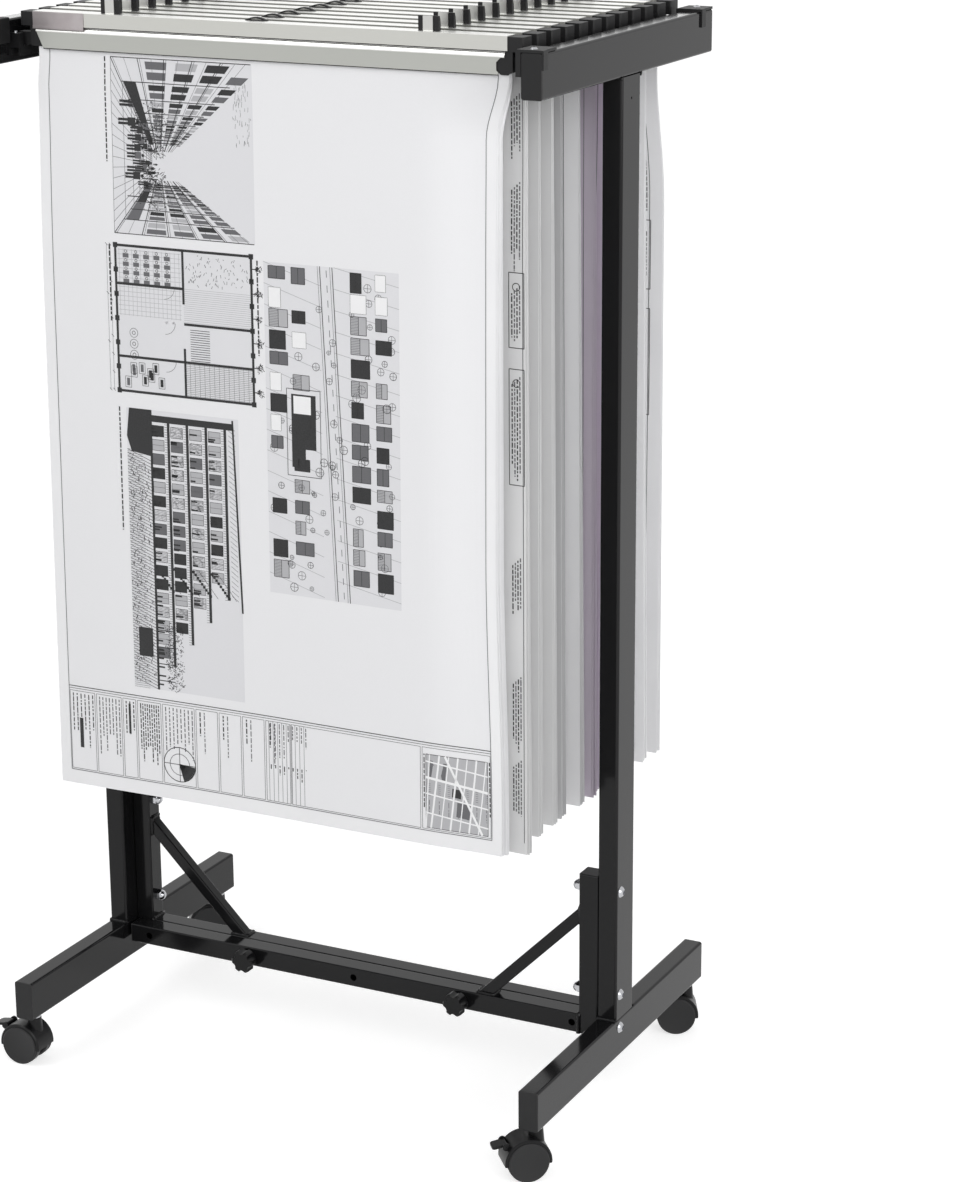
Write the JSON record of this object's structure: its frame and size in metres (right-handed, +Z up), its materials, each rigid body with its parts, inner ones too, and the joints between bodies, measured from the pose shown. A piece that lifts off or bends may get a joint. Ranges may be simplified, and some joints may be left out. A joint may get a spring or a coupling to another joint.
{
  "type": "plan hanging rack",
  "caption": "Rolling width-adjustable rack that holds large drawings in clamps hung between two arms.",
  "frame": {"origin": "on the floor, under the middle of the rack's outline with its casters as parked", "axes": "+Z up, +X to the right as seen from the front clamp, +Y to the rear"},
  "size_m": [0.7803, 0.5088, 1.332],
  "materials": {
    "frame_paint": "gloss black powder coat",
    "black_plastic": "moulded, fine grain",
    "runner_black": "satin black",
    "bright_steel": "zinc plated, bright",
    "knob_black": "moulded, half gloss",
    "caster_plastic": "moulded, half gloss",
    "wheel_plastic": "moulded, plain",
    "clamp_aluminium": "satin anodised",
    "clamp_plastic": "moulded, fine grain",
    "paper": "white drawing paper, matt"
  },
  "bodies": {
    "left_half": {"left_side_frame": "frame_paint", "left_cross_frame": "frame_paint", "left_tube_plugs": "black_plastic", "left_stop_clips": "black_plastic", "left_runner": "runner_black", "left_fasteners": "bright_steel"},
    "right_half": {"right_side_frame": "frame_paint", "right_cross_frame": "frame_paint", "right_tube_plugs": "black_plastic", "right_stop_clips": "black_plastic", "right_runner": "runner_black", "right_fasteners": "bright_steel"},
    "knob_left": {"knob_left": "knob_black"},
    "knob_right": {"knob_right": "knob_black"},
    "caster_front_left": {"caster_hood_front_left": "caster_plastic"},
    "wheels_front_left": {"caster_wheels_front_left": "wheel_plastic"},
    "brake_front_left": {"brake_lever_front_left": "caster_plastic"},
    "caster_front_right": {"caster_hood_front_right": "caster_plastic"},
    "wheels_front_right": {"caster_wheels_front_right": "wheel_plastic"},
    "brake_front_right": {"brake_lever_front_right": "caster_plastic"},
    "caster_rear_left": {"caster_hood_rear_left": "caster_plastic"},
    "wheels_rear_left": {"caster_wheels_rear_left": "wheel_plastic"},
    "caster_rear_right": {"caster_hood_rear_right": "caster_plastic"},
    "wheels_rear_right": {"caster_wheels_rear_right": "wheel_plastic"},
    "clamp_01": {"clamp_01_rail": "clamp_aluminium", "clamp_01_fittings": "clamp_plastic", "clamp_01_sheets": "paper"},
    "clamp_02": {"clamp_02_rail": "clamp_aluminium", "clamp_02_fittings": "clamp_plastic", "clamp_02_sheets": "paper"},
    "clamp_03": {"clamp_03_rail": "clamp_aluminium", "clamp_03_fittings": "clamp_plastic", "clamp_03_sheets": "paper"},
    "clamp_04": {"clamp_04_rail": "clamp_aluminium", "clamp_04_fittings": "clamp_plastic", "clamp_04_sheets": "paper"},
    "clamp_05": {"clamp_05_rail": "clamp_aluminium", "clamp_05_fittings": "clamp_plastic", "clamp_05_sheets": "paper"},
    "clamp_06": {"clamp_06_rail": "clamp_aluminium", "clamp_06_fittings": "clamp_plastic", "clamp_06_sheets": "paper"},
    "clamp_07": {"clamp_07_rail": "clamp_aluminium", "clamp_07_fittings": "clamp_plastic", "clamp_07_sheets": "paper"},
    "clamp_08": {"clamp_08_rail": "clamp_aluminium", "clamp_08_fittings": "clamp_plastic", "clamp_08_sheets": "paper"},
    "clamp_09": {"clamp_09_rail": "clamp_aluminium", "clamp_09_fittings": "clamp_plastic", "clamp_09_sheets": "paper"},
    "clamp_10": {"clamp_10_rail": "clamp_aluminium", "clamp_10_fittings": "clamp_plastic", "clamp_10_sheets": "paper"},
    "clamp_11": {"clamp_11_rail": "clamp_aluminium", "clamp_11_fittings": "clamp_plastic", "clamp_11_sheets": "paper"},
    "clamp_12": {"clamp_12_rail": "clamp_aluminium", "clamp_12_fittings": "clamp_plastic", "clamp_12_sheets": "paper"}
  },
  "joints": [
    {"name": "width_slide", "type": "slide", "parent": "left_half", "child": "right_half", "axis": [1, 0, 0], "range_m": [0, 0.3048]},
    {"name": "knob_left_turn", "type": "hinge", "parent": "right_half", "child": "knob_left", "pos_m": [-0.1374, -0.00405, 0.1025], "axis": [0, -1, 0], "continuous": true},
    {"name": "knob_right_turn", "type": "hinge", "parent": "right_half", "child": "knob_right", "pos_m": [0.1674, -0.00405, 0.1025], "axis": [0, -1, 0], "continuous": true},
    {"name": "swivel_front_left", "type": "hinge", "parent": "left_half", "child": "caster_front_left", "pos_m": [-0.3365, -0.2144, 0.06], "axis": [0, 0, 1], "continuous": true},
    {"name": "roll_front_left", "type": "hinge", "parent": "caster_front_left", "child": "wheels_front_left", "pos_m": [-0.3495, -0.21463, 0.025], "axis": [0.0175, -0.9998, 0], "continuous": true},
    {"name": "brake_press_front_left", "type": "hinge", "parent": "caster_front_left", "child": "brake_front_left", "pos_m": [-0.37487, -0.21507, 0.04482], "axis": [0.0175, -0.9998, 0], "range_deg": [0, 14]},
    {"name": "swivel_front_right", "type": "hinge", "parent": "right_half", "child": "caster_front_right", "pos_m": [0.3665, -0.2144, 0.06], "axis": [0, 0, 1], "continuous": true},
    {"name": "roll_front_right", "type": "hinge", "parent": "caster_front_right", "child": "wheels_front_right", "pos_m": [0.35662, -0.22284, 0.025], "axis": [0.6494, -0.7604, 0], "continuous": true},
    {"name": "brake_press_front_right", "type": "hinge", "parent": "caster_front_right", "child": "brake_front_right", "pos_m": [0.33732, -0.23932, 0.04482], "axis": [0.6494, -0.7604, 0], "range_deg": [0, 14]},
    {"name": "swivel_rear_left", "type": "hinge", "parent": "left_half", "child": "caster_rear_left", "pos_m": [-0.3365, 0.2316, 0.06], "axis": [0, 0, 1], "continuous": true},
    {"name": "roll_rear_left", "type": "hinge", "parent": "caster_rear_left", "child": "wheels_rear_left", "pos_m": [-0.34715, 0.22414, 0.025], "axis": [0.5736, -0.8192, 0], "continuous": true},
    {"name": "swivel_rear_right", "type": "hinge", "parent": "right_half", "child": "caster_rear_right", "pos_m": [0.3665, 0.2316, 0.06], "axis": [0, 0, 1], "continuous": true},
    {"name": "roll_rear_right", "type": "hinge", "parent": "caster_rear_right", "child": "wheels_rear_right", "pos_m": [0.35495, 0.22564, 0.025], "axis": [0.4587, -0.8886, 0], "continuous": true},
    {"name": "clamp_01_lift", "type": "slide", "parent": "left_half", "child": "clamp_01", "axis": [0, 0, 1], "range_m": [0, 0.08]},
    {"name": "clamp_02_lift", "type": "slide", "parent": "left_half", "child": "clamp_02", "axis": [0, 0, 1], "range_m": [0, 0.08]},
    {"name": "clamp_03_lift", "type": "slide", "parent": "left_half", "child": "clamp_03", "axis": [0, 0, 1], "range_m": [0, 0.08]},
    {"name": "clamp_04_lift", "type": "slide", "parent": "left_half", "child": "clamp_04", "axis": [0, 0, 1], "range_m": [0, 0.08]},
    {"name": "clamp_05_lift", "type": "slide", "parent": "left_half", "child": "clamp_05", "axis": [0, 0, 1], "range_m": [0, 0.08]},
    {"name": "clamp_06_lift", "type": "slide", "parent": "left_half", "child": "clamp_06", "axis": [0, 0, 1], "range_m": [0, 0.08]},
    {"name": "clamp_07_lift", "type": "slide", "parent": "left_half", "child": "clamp_07", "axis": [0, 0, 1], "range_m": [0, 0.08]},
    {"name": "clamp_08_lift", "type": "slide", "parent": "left_half", "child": "clamp_08", "axis": [0, 0, 1], "range_m": [0, 0.08]},
    {"name": "clamp_09_lift", "type": "slide", "parent": "left_half", "child": "clamp_09", "axis": [0, 0, 1], "range_m": [0, 0.08]},
    {"name": "clamp_10_lift", "type": "slide", "parent": "left_half", "child": "clamp_10", "axis": [0, 0, 1], "range_m": [0, 0.08]},
    {"name": "clamp_11_lift", "type": "slide", "parent": "left_half", "child": "clamp_11", "axis": [0, 0, 1], "range_m": [0, 0.08]},
    {"name": "clamp_12_lift", "type": "slide", "parent": "left_half", "child": "clamp_12", "axis": [0, 0, 1], "range_m": [0, 0.08]}
  ]
}
